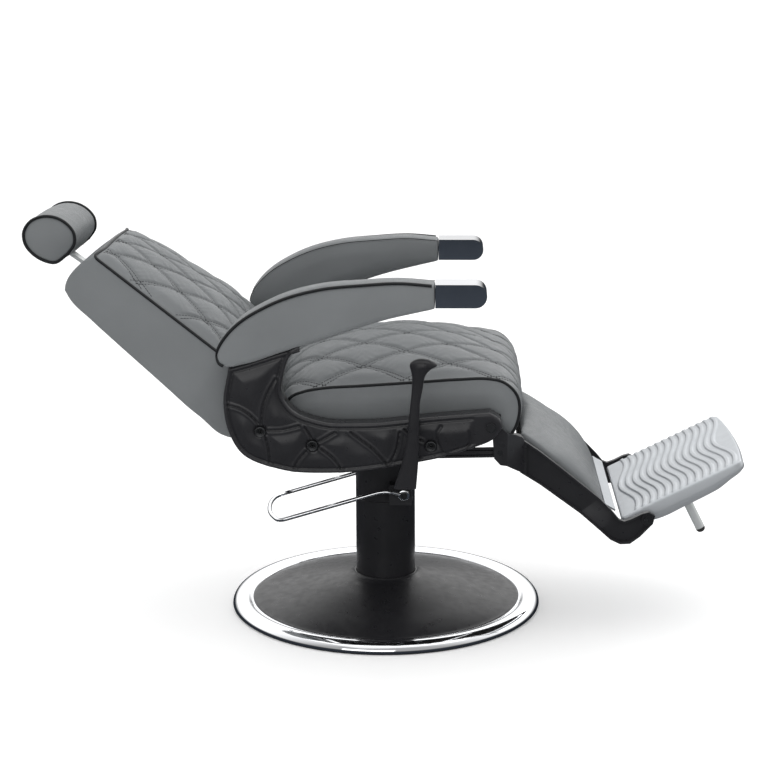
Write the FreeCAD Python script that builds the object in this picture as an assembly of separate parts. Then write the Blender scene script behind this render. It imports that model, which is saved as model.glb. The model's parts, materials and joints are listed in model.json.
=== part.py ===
import FreeCAD, Part
import math
import os

# Hydraulic barber chair, modelled reclined and at its lowest height.
# Millimetres. +X is forwards to the footplate, +Y the sitter's left, +Z up.
# The origin is on the floor, on the lift column's axis.

V = FreeCAD.Vector
UP = V(0, 0, 1)
ACROSS = V(0, 1, 0)

# Clearances
RUN = 0.05              # radial clearance of a running fit
PIN_GAP = 0.4           # radial clearance of the opened link pivots

# Base and column
BASE_R = 350.0
RING_IN_R = 303.0
RING_TOP = 24.0
PLATE_R = 345.5
PAD_T = 3.0
PLATE_TOP = 11.0
COVER_TOP = 76.0
COLUMN_R = 67.0
COLUMN_WALL = 5.0
COLUMN_TOP = 253.0
FLANGE_R = 110.0
FLANGE_T = 8.0
BASE_BOLTS = 6
BASE_BOLT_CIRCLE = 90.0

# Lift cylinder
RAM_R = 50.0
RAM_BORE_R = 40.0
RAM_TOP = 296.0
ROD_R = 12.0
PISTON_Z = 208.0
PISTON_T = 18.0
BUSH_L = 40.0
GLAND_T = 20.0

# Pump head and pedal
HEAD_TOP = 346.0
BEARING_T = 10.0
PEDAL_X = 45.0
PEDAL_Z = 283.0
PEDAL_SHAFT_R = 8.0
PEDAL_ROD_R = 4.75
PLUNGER_X = 24.0
PLUNGER_Y = -80.0
PLUNGER_R = 5.0

# Side layers, as distances from the centre plane
CUSHION_HALF = 261.0
FRAME_IN, FRAME_OUT = 264.0, 270.0
LINK_IN, LINK_OUT = 272.0, 278.0
CRANK_IN, CRANK_OUT = 280.0, 286.0
ARM_IN, ARM_OUT = 290.0, 295.0
BLADE_IN, BLADE_OUT = 229.0, 241.0
SHELL_IN, SHELL_OUT = 289.0, 330.0
SHELL_WALL = 4.0
ARMREST_IN, ARMREST_OUT = 272.0, 343.0

# Pivots in the side view, as (X, Z)
RECLINE = (-246.0, 483.0)
LEGREST = (232.0, 494.0)
CRANK = (20.0, -66.0)
PIVOT_R = 8.0
LINK_PIN_R = 6.0
SHELL_SCREWS = ((-138.0, 454.0), (108.0, 453.0))
LEVER = (60.0, 390.0)
LEVER_SHAFT_R = 8.0
FOOT = (570.0, 272.0)

# Backrest, in a frame that runs up the back (s is negative above the top corner)
BACK_TOP = (-605.0, 829.0)
BACK_ANGLE = 35.4
BACK_TOP_HALF = 194.0
BACK_TAPER = 0.217
BACK_MAX_HALF = 268.0
BACK_CROWN = 28.0       # how far the middle of the back's face swells forwards
BAR_DEPTH = 70.0
BAR_W, BAR_T = 28.0, 8.0
HEAD_S = -82.0
BACK_HUB = (400.0, 50.0)    # (s, depth) of the bar that joins the two brackets

# Footplate
TREAD_ANGLE = 26.8
TREAD_HALF = 206.0
SUPPORT_Y = 188.0
SUPPORT_R = 9.8
SUPPORT_L = 84.0


def box(x0, x1, y0, y1, z0, z1):
    return Part.makeBox(x1 - x0, y1 - y0, z1 - z0, V(x0, y0, z0))


def upright(radius, z0, z1, x=0.0, y=0.0):
    return Part.makeCylinder(radius, z1 - z0, V(x, y, z0), UP)


def crosswise(radius, at, y0, y1):
    """Cylinder along Y through the side-view point `at`."""
    return Part.makeCylinder(radius, y1 - y0, V(at[0], y0, at[1]), ACROSS)


def ring(outer, inner, z0, z1, x=0.0, y=0.0):
    return upright(outer, z0, z1, x, y).cut(upright(inner, z0, z1, x, y))


def side_face(points, y):
    return Part.Face(Part.makePolygon([V(x, y, z) for x, z in points + points[:1]]))


def side_plate(points, y0, y1):
    """Flat plate with a straight-edged outline in the side view."""
    return side_face(points, y0).extrude(V(0, y1 - y0, 0))


def smooth_edge(points, y):
    curve = Part.BSplineCurve()
    curve.interpolate([V(x, y, z) for x, z in points])
    return curve.toShape()


def smooth_face(runs, y):
    """Face bounded by smooth curves; each run starts where the last one ends."""
    return Part.Face(Part.Wire([smooth_edge(run, y) for run in runs]))


def smooth_plate(runs, y0, y1):
    return smooth_face(runs, y0).extrude(V(0, y1 - y0, 0))


def lathe(points):
    """Solid of revolution about Z from (radius, height) corners."""
    face = Part.Face(Part.makePolygon([V(r, 0, z) for r, z in points + points[:1]]))
    return face.revolve(V(0, 0, 0), UP, 360)


def fuse(shapes):
    body = shapes[0]
    for shape in shapes[1:]:
        body = body.fuse(shape)
    return body.removeSplitter()


def cut(shape, tools):
    for tool in tools:
        shape = shape.cut(tool)
    return shape


def mirrored(shape):
    return shape.mirror(V(0, 0, 0), ACROSS)


def pair(shape):
    """The part on the right side and its mirror image on the left."""
    return Part.makeCompound([shape, mirrored(shape)])


def around(shape, count):
    copies = []
    for i in range(count):
        copy = shape.copy()
        copy.rotate(V(0, 0, 0), UP, 360.0 * i / count)
        copies.append(copy)
    return copies


def rod(points, radius):
    """Round rod with ball corners along a line of points."""
    pieces = []
    for a, b in zip(points, points[1:]):
        pieces.append(Part.makeCylinder(radius, (b - a).Length, a, b - a))
    for p in points[1:-1]:
        pieces.append(Part.makeSphere(radius, p))
    return fuse(pieces)


def save(name, shape):
    shape.exportStep("parts/" + name + ".step")


# ---------------------------------------------------------------- base

def build_base():
    save("base_foot_pad", upright(PLATE_R, 0, PAD_T))

    plate = upright(PLATE_R, PAD_T, PLATE_TOP)
    bolt_hole = upright(5, PAD_T, PLATE_TOP + FLANGE_T, BASE_BOLT_CIRCLE)
    save("base_plate", cut(plate, around(bolt_hole, BASE_BOLTS)))

    hump = [V(BASE_R, 0, 9), V(BASE_R - 7, 0, RING_TOP - 5), V(BASE_R - 20, 0, RING_TOP)]
    fall = [hump[2], V(BASE_R - 34, 0, RING_TOP - 2), V(RING_IN_R, 0, RING_TOP - 6)]
    outline = [Part.Arc(*hump).toShape(), Part.Arc(*fall).toShape()]
    corners = [fall[2], V(RING_IN_R, 0, PLATE_TOP), V(PLATE_R + 0.5, 0, PLATE_TOP)]
    corners += [V(PLATE_R + 0.5, 0, 1.5), V(BASE_R, 0, 1.5), hump[0]]
    outline.append(Part.makePolygon(corners))
    trim = Part.Face(Part.Wire([e for part in outline for e in part.Edges]))
    save("base_ring", trim.revolve(V(0, 0, 0), UP, 360))

    edge = RING_IN_R - 0.2
    neck = COLUMN_R + 0.2
    skin = 2.0
    outer = [(edge, PLATE_TOP), (edge, 18), (200, 40), (120, 58), (78, COVER_TOP - 8),
             (neck + 3, COVER_TOP)]
    inner = [(neck, COVER_TOP), (neck, COVER_TOP - 8), (120, 58 - skin), (200, 40 - skin),
             (edge - 3, 18 - skin), (edge - 3, PLATE_TOP)]
    save("base_cover", lathe(outer + inner))

    tube = ring(COLUMN_R, COLUMN_R - COLUMN_WALL, PLATE_TOP, COLUMN_TOP)
    flange = ring(FLANGE_R, COLUMN_R - COLUMN_WALL, PLATE_TOP, PLATE_TOP + FLANGE_T)
    save("column_tube", cut(fuse([tube, flange]), around(bolt_hole, BASE_BOLTS)))

    shank = upright(5, PAD_T + 1, PLATE_TOP + FLANGE_T, BASE_BOLT_CIRCLE)
    head = upright(8, PLATE_TOP + FLANGE_T, PLATE_TOP + FLANGE_T + 7, BASE_BOLT_CIRCLE)
    save("base_bolts", Part.makeCompound(around(fuse([shank, head]), BASE_BOLTS)))

    bore = COLUMN_R - COLUMN_WALL
    save("guide_bush", ring(bore, RAM_R + RUN, COLUMN_TOP - BUSH_L, COLUMN_TOP))

    spigot_r = 8.0
    foot = upright(30, PLATE_TOP, PLATE_TOP + 3)
    shaft = upright(ROD_R, PLATE_TOP, PISTON_Z)
    spigot = upright(spigot_r, PISTON_Z, PISTON_Z + PISTON_T + 4)
    save("piston_rod", fuse([foot, shaft, spigot]))

    piston = ring(RAM_BORE_R - RUN, spigot_r, PISTON_Z, PISTON_Z + PISTON_T)
    grooves = [PISTON_Z + 3, PISTON_Z + 11]
    seals = [ring(RAM_BORE_R - 0.02, RAM_BORE_R - 4, z, z + 4) for z in grooves]
    save("lift_piston", cut(piston, seals))
    save("piston_seals", Part.makeCompound(seals))


def build_ram():
    bottom = 15.0
    ram = cut(upright(RAM_R, bottom, RAM_TOP), [upright(RAM_BORE_R, bottom, RAM_TOP - 50)])
    save("lift_ram", ram)
    save("ram_gland", ring(RAM_BORE_R, ROD_R + RUN, bottom, bottom + GLAND_T))
    save("thrust_bearing", ring(46, 20, RAM_TOP, RAM_TOP + BEARING_T))


# ---------------------------------------------------------------- pump head and pedal

def build_pump():
    seam = 1.0
    head = upright(COLUMN_R, COLUMN_TOP + seam, HEAD_TOP)
    pocket = upright(RAM_R + RUN, COLUMN_TOP + seam, RAM_TOP + BEARING_T + 0.02)
    mount_bolt = upright(5, 330, 354, 40, 40)
    save("pump_head", cut(head, [pocket] + around(mount_bolt, 4)))

    boss = box(12, 62, -96, -48, 256, 302)
    boss = boss.cut(upright(COLUMN_R, 250, 310))
    shaft_bore = crosswise(PEDAL_SHAFT_R + RUN, (PEDAL_X, PEDAL_Z), -96, -57)
    left = cut(mirrored(boss), [mirrored(shaft_bore)])
    arm_slot = box(14, 56, -86, -74, 262, 300)
    plunger_bore = upright(PLUNGER_R + RUN, 250, 280, PLUNGER_X, PLUNGER_Y)
    right = cut(boss, [shaft_bore, arm_slot, plunger_bore])
    save("pedal_housing", Part.makeCompound([right, left]))

    stub = crosswise(PEDAL_SHAFT_R, (PEDAL_X, PEDAL_Z), -112, -58)
    screw_hole = crosswise(3, (PEDAL_X, PEDAL_Z), -112, -98)
    stub = stub.cut(screw_hole)
    cam = box(PLUNGER_X - 6, PEDAL_X, -84, -76, PEDAL_Z - 4, PEDAL_Z + 4)
    cam = fuse([cam, stub])
    save("pedal_shafts", Part.makeCompound([cam.cut(screw_hole), mirrored(stub)]))

    screw = fuse([screw_hole, crosswise(8, (PEDAL_X, PEDAL_Z), -116, -112)])
    save("pedal_screws", pair(screw))

    eye_y = 108.0
    side = [V(PEDAL_X, -eye_y, PEDAL_Z), V(1, -112, 293), V(-185, -119, 237), V(-232, -104, 226),
            V(-258, -67, 230)]
    far = [V(p.x, -p.y, p.z) for p in reversed(side)]
    eye = crosswise(12, (PEDAL_X, PEDAL_Z), -112, -104)
    loop = fuse([rod(side + far, PEDAL_ROD_R), eye, mirrored(eye)])
    cap_room = crosswise(PEDAL_SHAFT_R, (PEDAL_X, PEDAL_Z), -125, -90)
    ends = fuse([cap_room, mirrored(cap_room)])
    save("pedal_loop", loop.cut(ends))

    save("pump_plunger", upright(PLUNGER_R, 260, 278, PLUNGER_X, PLUNGER_Y))


# ---------------------------------------------------------------- seat frame and shells

def arm_bracket_outline():
    return [(-288, 478), (-255, 445), (-140, 425), (60, 428), (200, 462), (250, 480), (250, 508),
            (120, 484), (-100, 478), (-195, 520), (-210, 600), (-198, 690), (-100, 733), (100, 755),
            (100, 775), (-100, 765), (-200, 737), (-270, 690), (-292, 600)]


SHELL_RUNS = (
    # up the rear, across under the arm pad, down to the seat and along to the nose
    ((-310, 617), (-322, 542), (-313, 483), (-289, 438), (-206, 401), (-102, 394), (48, 412),
     (195, 449), (238, 469), (257, 494)),
    ((257, 494), (250, 511), (230, 525)),
    ((230, 525), (127, 517), (-38, 501), (-121, 505), (-183, 533), (-201, 569), (-196, 605),
     (-181, 644), (-161, 662)),
    ((-161, 662), (-200, 651), (-242, 637), (-283, 624), (-310, 617)),
)

ARM_PAD_TOP = ((116, 793), (46, 799), (-35, 795), (-117, 787), (-198, 765), (-239, 746), (-281, 720),
               (-312, 689), (-329, 659))
ARM_PAD_REAR = ((-329, 659), (-332, 645), (-328, 630), (-314, 622))
ARM_PAD_BOTTOM = ((-314, 622), (-283, 627), (-200, 654), (-118, 680), (5, 719), (116, 744))


def build_seat_structure():
    bolt = fuse([upright(5, 331, 354, 40, 40), upright(8, 354, 361, 40, 40)])
    save("mount_bolts", Part.makeCompound(around(bolt, 4)))
    plate = box(-95, 75, -75, 75, HEAD_TOP, HEAD_TOP + 8)
    save("seat_mount_plate", cut(plate, around(upright(5, 340, 360, 40, 40), 4)))

    riser = side_plate([(-90, 354), (75, 354), (150, 425), (-160, 425)], -56, -50)
    bush_hole = crosswise(11, LEVER, -60, -46)
    riser = riser.cut(bush_hole)
    tubes = []
    for x in (-160, 120):
        tube = box(x, x + 30, -FRAME_IN, FRAME_IN, 425, 450)
        tubes.append(tube.cut(box(x + 3, x + 27, -FRAME_IN, FRAME_IN, 428, 447)))
    save("seat_frame", fuse([riser, mirrored(riser)] + tubes))

    bush = crosswise(11, LEVER, -58, -48).cut(crosswise(LEVER_SHAFT_R + RUN, LEVER, -58, -48))
    save("lever_bushes", pair(bush))

    frame = [(-268, 470), (-240, 455), (-150, 412), (150, 418), (250, 478), (254, 508), (225, 514),
             (150, 489), (-150, 480), (-236, 508), (-268, 500)]
    side = side_plate(frame, -FRAME_OUT, -FRAME_IN)
    side = cut(side, [crosswise(PIVOT_R, p, -FRAME_OUT, -FRAME_IN) for p in (RECLINE, LEGREST)])
    save("side_frames", pair(side))

    arm = side_plate(arm_bracket_outline(), -ARM_OUT, -ARM_IN)
    studs = [crosswise(7, at, -ARM_IN, -FRAME_OUT) for at in SHELL_SCREWS]
    arm = fuse([arm] + studs)
    holes = [crosswise(PIVOT_R, p, -ARM_OUT, -ARM_IN) for p in (RECLINE, LEGREST)]
    holes += [crosswise(4, at, -ARM_OUT, -ARM_IN + 5) for at in SHELL_SCREWS]
    arm = cut(arm, holes)
    save("arm_brackets", pair(arm))

    shell = smooth_plate(SHELL_RUNS, -SHELL_OUT, -SHELL_IN)
    rim = smooth_face(SHELL_RUNS, -SHELL_IN).OuterWire.discretize(Number=90)
    inside = Part.makePolygon(rim + rim[:1]).makeOffset2D(-SHELL_WALL)
    shell = shell.cut(Part.Face(inside).extrude(V(0, SHELL_WALL + SHELL_IN - SHELL_OUT, 0)))
    mouth = side_plate(arm_bracket_outline(), -ARM_OUT, -SHELL_IN)
    holes = [crosswise(PIVOT_R, p, -SHELL_OUT, -SHELL_IN) for p in (RECLINE, LEGREST)]
    holes += [crosswise(4, at, -SHELL_OUT, -SHELL_IN) for at in SHELL_SCREWS]
    shell = cut(shell, [mouth] + holes)
    save("side_shell_right", shell)
    save("side_shell_left", mirrored(shell))

    screws = []
    for at in SHELL_SCREWS:
        shank = crosswise(4, at, -SHELL_OUT, -ARM_IN)
        screws.append(fuse([shank, crosswise(9, at, -SHELL_OUT - 4, -SHELL_OUT)]))
    save("shell_screws", Part.makeCompound(screws + [mirrored(s) for s in screws]))

    for name, at in (("recline_pivot_pins", RECLINE), ("legrest_pivot_bolts", LEGREST)):
        pin = crosswise(PIVOT_R, at, -SHELL_OUT, -FRAME_IN)
        save(name, pair(fuse([pin, crosswise(10, at, -SHELL_OUT - 4, -SHELL_OUT)])))

    cylinder = Part.makeCylinder(16, 230, V(100, 0, 417), V(-1, 0, 0))
    lug = box(100, 118, -50, 50, 409, 425)
    rod_bore = Part.makeCylinder(6 + RUN, 240, V(90, 0, 417), V(-1, 0, 0))
    save("lock_cylinder", fuse([cylinder, lug]).cut(rod_bore))


def build_seat_top():
    save("seat_board", box(-200, 262, -250, 250, 454, 466))
    profile = [(-205, 466), (-207, 545), (-195, 588), (-150, 614), (-60, 636), (60, 648), (180, 640),
               (250, 618), (285, 578), (297, 530), (292, 495), (275, 466)]
    cushion = side_plate(profile, -CUSHION_HALF, CUSHION_HALF)
    crown = [(-CUSHION_HALF, 460), (-CUSHION_HALF, 578), (-200, 616), (-100, 642), (0, 650),
             (100, 642), (200, 616), (CUSHION_HALF, 578), (CUSHION_HALF, 460)]
    section = Part.Face(Part.makePolygon([V(-210, y, z) for y, z in crown + crown[:1]]))
    save("seat_cushion", cushion.common(section.extrude(V(510, 0, 0))))


def build_armrests():
    pad = smooth_plate((ARM_PAD_TOP, ARM_PAD_REAR, ARM_PAD_BOTTOM, ((116, 744), (116, 793))),
                       -ARMREST_OUT, -ARMREST_IN)
    slot = side_plate(arm_bracket_outline(), -ARM_OUT, -ARM_IN)
    pad = pad.cut(slot)
    save("armrest_pad_right", pad)
    save("armrest_pad_left", mirrored(pad))

    low, high, nose = 747.0, 795.0, 198.0
    radius = (high - low) / 2
    block = box(117, nose, -ARMREST_OUT, -ARMREST_IN, low, high)
    tip = fuse([block, crosswise(radius, (nose, low + radius), -ARMREST_OUT, -ARMREST_IN)])
    holes = [upright(3, low - 2, low + 14, x, -307) for x in (140, 185)]
    tip = cut(tip, holes)
    save("armrest_tips", pair(tip))
    screws = [fuse([hole, upright(5, low - 4, low, x, -307)]) for hole, x in zip(holes, (140, 185))]
    save("tip_screws", Part.makeCompound(screws + [mirrored(s) for s in screws]))


# ---------------------------------------------------------------- recline lever and lock

def build_lever():
    foot_y = 351.0
    shaft = crosswise(LEVER_SHAFT_R, LEVER, -foot_y, 66)
    cam = side_plate([(52, 390), (54, 374), (66, 374), (68, 390)], -10, 10)
    save("lever_shaft", fuse([shaft, cam]))

    handle = [(32, 372), (78, 372), (80, 410), (80, 474), (82, 569), (88, 612), (72, 612),
              (64, 569), (53, 474), (43, 410)]
    arm = side_plate(handle, -361, -345)
    arm = arm.cut(crosswise(LEVER_SHAFT_R, LEVER, -foot_y, -340))
    save("lever_handle", arm)

    grip = [(72, 612), (62, 622), (56, 634), (62, 645), (90, 650), (112, 642), (117, 626), (104, 612)]
    save("lever_knob", side_plate(grip, -368, -341))


def build_lock_rod():
    shaft = Part.makeCylinder(6, 190, V(20, 0, 417), V(-1, 0, 0))
    eye = box(-240, -170, -8, 8, 404, 431)
    crossbar_slot = box(-226 - 8.8, -226 + 8.8, -8, 8, 417 - 14, 417 + 11)
    relief = box(-244, -226 - 8.8, -8, 8, 404, 406)
    save("lock_rod", cut(fuse([shaft, eye]), [crosswise(8.8, (-226, 416), -8, 8), crossbar_slot, relief]))


# ---------------------------------------------------------------- backrest and headrest

def back_point(s, depth):
    """Side-view point s below the top corner, along the face, and depth behind the face."""
    a = math.radians(BACK_ANGLE)
    x = BACK_TOP[0] + s * math.cos(a) - depth * math.sin(a)
    z = BACK_TOP[1] - s * math.sin(a) - depth * math.cos(a)
    return (x, z)


def back_place(s, y, depth):
    x, z = back_point(s, depth)
    return V(x, y, z)


def back_block(s0, s1, y0, y1, d0, d1):
    corners = [back_point(s0, d0), back_point(s1, d0), back_point(s1, d1), back_point(s0, d1)]
    return side_plate(corners, y0, y1)


def build_backrest():
    crowned = [back_point(0, 0), back_point(40, -20), back_point(90, -BACK_CROWN),
               back_point(290, -BACK_CROWN), back_point(350, -14), back_point(386, 0)]
    profile = crowned + [(-312, 456), back_point(376, 139), back_point(68, 115),
                         back_point(-12, 100), back_point(-18, 76), back_point(-15, 41)]
    pad = side_plate(profile, -300, 300)
    widest = (BACK_MAX_HALF - BACK_TOP_HALF) / BACK_TAPER
    half = [(-30, BACK_TOP_HALF - 6), (widest, BACK_MAX_HALF), (480, BACK_MAX_HALF)]
    outline = [(s, -w) for s, w in half] + [(s, w) for s, w in reversed(half)]
    corners = [back_place(s, y, -40) for s, y in outline]
    taper = Part.Face(Part.makePolygon(corners + corners[:1]))
    pad = pad.common(taper.extrude(back_place(0, 0, 240) - back_place(0, 0, 0)))
    crown = [(-300, 0), (-200, 0), (-130, -0.45 * BACK_CROWN), (-60, -0.9 * BACK_CROWN),
             (0, -BACK_CROWN), (60, -0.9 * BACK_CROWN), (130, -0.45 * BACK_CROWN), (200, 0),
             (300, 0), (300, 200), (-300, 200)]
    corners = [back_place(-40, y, depth) for y, depth in crown]
    across = Part.Face(Part.makePolygon(corners + corners[:1]))
    pad = pad.common(across.extrude(back_place(520, 0, 0) - back_place(0, 0, 0)))

    board = back_block(0, 370, -170, 170, 42, 54)
    sleeve_out = back_block(-22, 180, -20, 20, 54, 86)
    sleeve_in = back_block(-22, 180, -BAR_W / 2 - RUN, BAR_W / 2 + RUN,
                           BAR_DEPTH - BAR_T / 2 - RUN, BAR_DEPTH + BAR_T / 2 + RUN)
    save("backrest_board", board)
    save("headrest_sleeve", sleeve_out.cut(sleeve_in))

    hub = back_point(*BACK_HUB)
    bracket = [(-246, 511), (hub[0] + 10, hub[1] + 14), (hub[0] - 10, hub[1] + 10),
               (hub[0] - 12, hub[1] - 10), (-272, 474), (-240, 404), (-214, 404), (-220, 483)]
    side = side_plate(bracket, -CRANK_OUT, -CRANK_IN)
    side = side.cut(crosswise(PIVOT_R + RUN, RECLINE, -CRANK_OUT, -CRANK_IN))
    rear_pin = (RECLINE[0] + CRANK[0], RECLINE[1] + CRANK[1])
    pin = crosswise(LINK_PIN_R, rear_pin, -CRANK_IN, -LINK_IN + 2)
    upper_bar = crosswise(10, hub, -CRANK_OUT, CRANK_OUT)
    lower_bar = crosswise(8, rear_pin, -LINK_IN + 2, LINK_IN - 2)
    upright_bar = back_block(120, BACK_HUB[0] + 4, 150, 170, 54, 84)
    frame = fuse([side, pin, mirrored(side), mirrored(pin), upper_bar, lower_bar, upright_bar,
                  mirrored(upright_bar)])
    save("backrest_frame", frame)

    save("backrest_pad", cut(pad, [board, sleeve_out, frame]))


def build_headrest():
    eye = back_point(HEAD_S, BAR_DEPTH)
    bar = back_block(HEAD_S, 150, -BAR_W / 2, BAR_W / 2, BAR_DEPTH - BAR_T / 2, BAR_DEPTH + BAR_T / 2)
    bar = fuse([bar, crosswise(9, eye, -BAR_W / 2, BAR_W / 2)])
    pin_r = 4.0
    save("headrest_bar", bar.cut(crosswise(pin_r + RUN, eye, -BAR_W / 2, BAR_W / 2)))

    def local(u, n):
        """Side-view point u up the back and n in front of the tilt pin."""
        return back_point(HEAD_S - u, BAR_DEPTH - n)

    ear = side_plate([local(-10, -10), local(10, -10), local(12, 12), local(-12, 12)], -18, -14.5)
    plate = side_plate([local(-4, 12), local(60, 12), local(60, 15), local(-4, 15)], -40, 40)
    bracket = fuse([ear, mirrored(ear), plate])
    save("headrest_bracket", bracket.cut(crosswise(pin_r, eye, -20, 20)))
    save("headrest_pin", crosswise(pin_r, eye, -20, 20))

    section = [(-27, 22), (-26, 50), (-12, 68), (8, 75), (36, 73), (62, 58), (78, 32), (76, 4),
               (60, -14), (36, -22), (10, -21), (-14, -11)]
    closed = [local(u, n) for u, n in section]
    curve = Part.BSplineCurve()
    curve.interpolate(Points=[V(x, -120, z) for x, z in closed], PeriodicFlag=True)
    pad = Part.Face(Part.Wire(curve.toShape())).extrude(V(0, 240, 0))
    pocket = [(12, -60), (12, 12), (-6, 12), (-60, 52), (-60, -60)]
    slot = side_plate([local(u, n) for u, n in pocket], -20, 20)
    save("headrest_pad", cut(pad, [plate, slot]))


# ---------------------------------------------------------------- legrest and links

ARM_UPPER = ((297, 444), (338, 420), (380, 387), (466, 317), (493, 289), (508, 271), (519, 267))
ARM_LOWER = ((296, 374), (339, 347), (425, 284), (468, 246), (490, 226), (511, 216), (532, 217),
             (553, 233), (580, 262))


def build_legrest():
    front_pin = (LEGREST[0] + CRANK[0], LEGREST[1] + CRANK[1])
    crank = [(216, 508), (245, 508), (256, 481), (267, 471), (267, 400), (253, 402), (240, 416),
             (236, 462), (216, 480)]
    bend = [(267, 471), (285, 463), (298, 454), (304, 447), (304, 372), (285, 386), (267, 400)]
    slant = [V(267, -CRANK_OUT, 0), V(304, -BLADE_OUT, 0), V(304, -BLADE_IN, 0), V(296, -BLADE_IN, 0),
             V(267, -CRANK_IN, 0)]
    slant = Part.Face(Part.makePolygon(slant + slant[:1])).extrude(UP * 600)
    joggle = side_plate(bend, -CRANK_OUT, -BLADE_IN).common(slant)
    blade = [(300, 446)] + list(ARM_UPPER[1:]) + [(535, 273), (556, 284), (570, 288), (584, 280)]
    blade += list(reversed(ARM_LOWER)) + [(300, 374)]
    arm = fuse([side_plate(crank, -CRANK_OUT, -CRANK_IN), joggle,
                side_plate(blade, -BLADE_OUT, -BLADE_IN)])
    recess = Part.Face(side_face(blade, -BLADE_OUT).OuterWire.makeOffset2D(-4)).extrude(V(0, 7, 0))
    keep = crosswise(14, FOOT, -BLADE_OUT, -BLADE_IN)
    lip = box(280, 310, -BLADE_OUT, -BLADE_IN, 350, 470)
    arm = arm.cut(cut(recess, [keep, lip]))
    holes = [crosswise(PIVOT_R + RUN, LEGREST, -CRANK_OUT, -CRANK_IN),
             crosswise(LINK_PIN_R, front_pin, -CRANK_OUT, -CRANK_IN),
             crosswise(6 + RUN, FOOT, -BLADE_OUT, -BLADE_IN)]
    arm = cut(arm, holes)
    save("legrest_arms", pair(arm))

    save("legrest_crossbars", Part.makeCompound(
        [crosswise(8, at, -BLADE_IN, BLADE_IN) for at in ((344, 372), (438, 289))]))
    steep = (425 - 282) / (478 - 316)
    upper_end = (297, 425 + steep * (316 - 297))
    board = [upper_end, (478, 282), (471, 274), (upper_end[0] - 7, upper_end[1] - 8)]
    save("calf_board", side_plate(board, -205, 205))
    pad = [(316, 425), (303, 440), (302, 462), (312, 478), (347, 466), (392, 432), (436, 388),
           (464, 343), (482, 297), (476, 283.77)]
    save("calf_pad", side_plate(pad, -214, 214))
    trim = [(481, 293), (504, 280), (503, 276), (479.5, 289)]
    save("legrest_trim", side_plate(trim, -196, 196))

    rear_pin = (RECLINE[0] + CRANK[0], RECLINE[1] + CRANK[1])
    bar = [(rear_pin[0] - 12, rear_pin[1] - 11), (front_pin[0] + 8, front_pin[1] - 11),
           (front_pin[0] + 12, front_pin[1]), (front_pin[0] + 8, front_pin[1] + 11),
           (rear_pin[0] - 12, rear_pin[1] + 11)]
    link = side_plate(bar, -LINK_OUT, -LINK_IN)
    link = cut(link, [crosswise(LINK_PIN_R + PIN_GAP, rear_pin, -LINK_OUT, -LINK_IN),
                      crosswise(LINK_PIN_R + RUN, front_pin, -LINK_OUT, -LINK_IN)])
    save("link_bars", pair(link))
    pin = fuse([crosswise(LINK_PIN_R, front_pin, -CRANK_OUT, -LINK_IN + 0.5),
                crosswise(8, front_pin, -LINK_IN + 0.5, -LINK_IN + 2)])
    save("link_pins", pair(pin))


def build_footplate():
    a = math.radians(TREAD_ANGLE)

    def tread(s, depth):
        """Side-view point s forward of the rear edge and depth under the top face."""
        return (514 + s * math.cos(a) + depth * math.sin(a), 264 + s * math.sin(a) - depth * math.cos(a))

    plate = side_plate([tread(0, 0), tread(280, 0), tread(293, 10), tread(288, 16), tread(30, 13),
                        tread(0, 6)], -TREAD_HALF, TREAD_HALF)
    skirt = side_plate([tread(26, 1), tread(286, 1), tread(294, 10), tread(290, 19), tread(240, 31),
                        tread(190, 37), tread(110, 37), tread(60, 36), tread(30, 24)],
                       -TREAD_HALF - 7, -TREAD_HALF + 3)
    casting = fuse([plate, skirt, mirrored(skirt)])
    sockets = []
    posts = []
    tips = []
    downward = V(math.sin(a), 0, -math.cos(a))
    for y in (-SUPPORT_Y, SUPPORT_Y):
        root = tread(143, 16)
        start = V(root[0], y, root[1])
        sockets.append(Part.makeCylinder(15, 14, start - downward * 3, downward))
        posts.append(Part.makeCylinder(SUPPORT_R, SUPPORT_L, start, downward))
        tips.append(Part.makeCylinder(SUPPORT_R, 10, start + downward * SUPPORT_L, downward))
    casting = fuse([casting] + sockets)
    foot_hole = crosswise(6, FOOT, -TREAD_HALF - 7, -TREAD_HALF + 3)
    save("footplate", cut(casting, posts + [foot_hole, mirrored(foot_hole)]))
    save("support_legs", Part.makeCompound(posts))
    save("leg_tips", Part.makeCompound([tip.makeFillet(8, [tip.Edges[0]]) for tip in tips]))

    bolt = fuse([crosswise(6, FOOT, -243, -TREAD_HALF + 3), crosswise(9, FOOT, -247, -243)])
    save("footplate_bolts", pair(bolt))


os.makedirs("parts", exist_ok=True)
build_base()
build_ram()
build_pump()
build_seat_structure()
build_seat_top()
build_armrests()
build_lever()
build_lock_rod()
build_backrest()
build_headrest()
build_legrest()
build_footplate()
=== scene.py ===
"""Looks of the reclining hydraulic barber chair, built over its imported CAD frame.

Side outlines are offsets in millimetres from a CAD joint or corner, as (forward, up) unless their
comment says otherwise. The lever, pedal and screws are drawn in millimetres too. Everything else
is in metres, in the frame's own axes.
"""

import json
import math

import bmesh
import bpy
import numpy as np
from mathutils import Matrix, Vector
from mathutils.bvhtree import BVHTree
from mathutils.geometry import delaunay_2d_cdt
from mathutils.kdtree import KDTree


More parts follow.
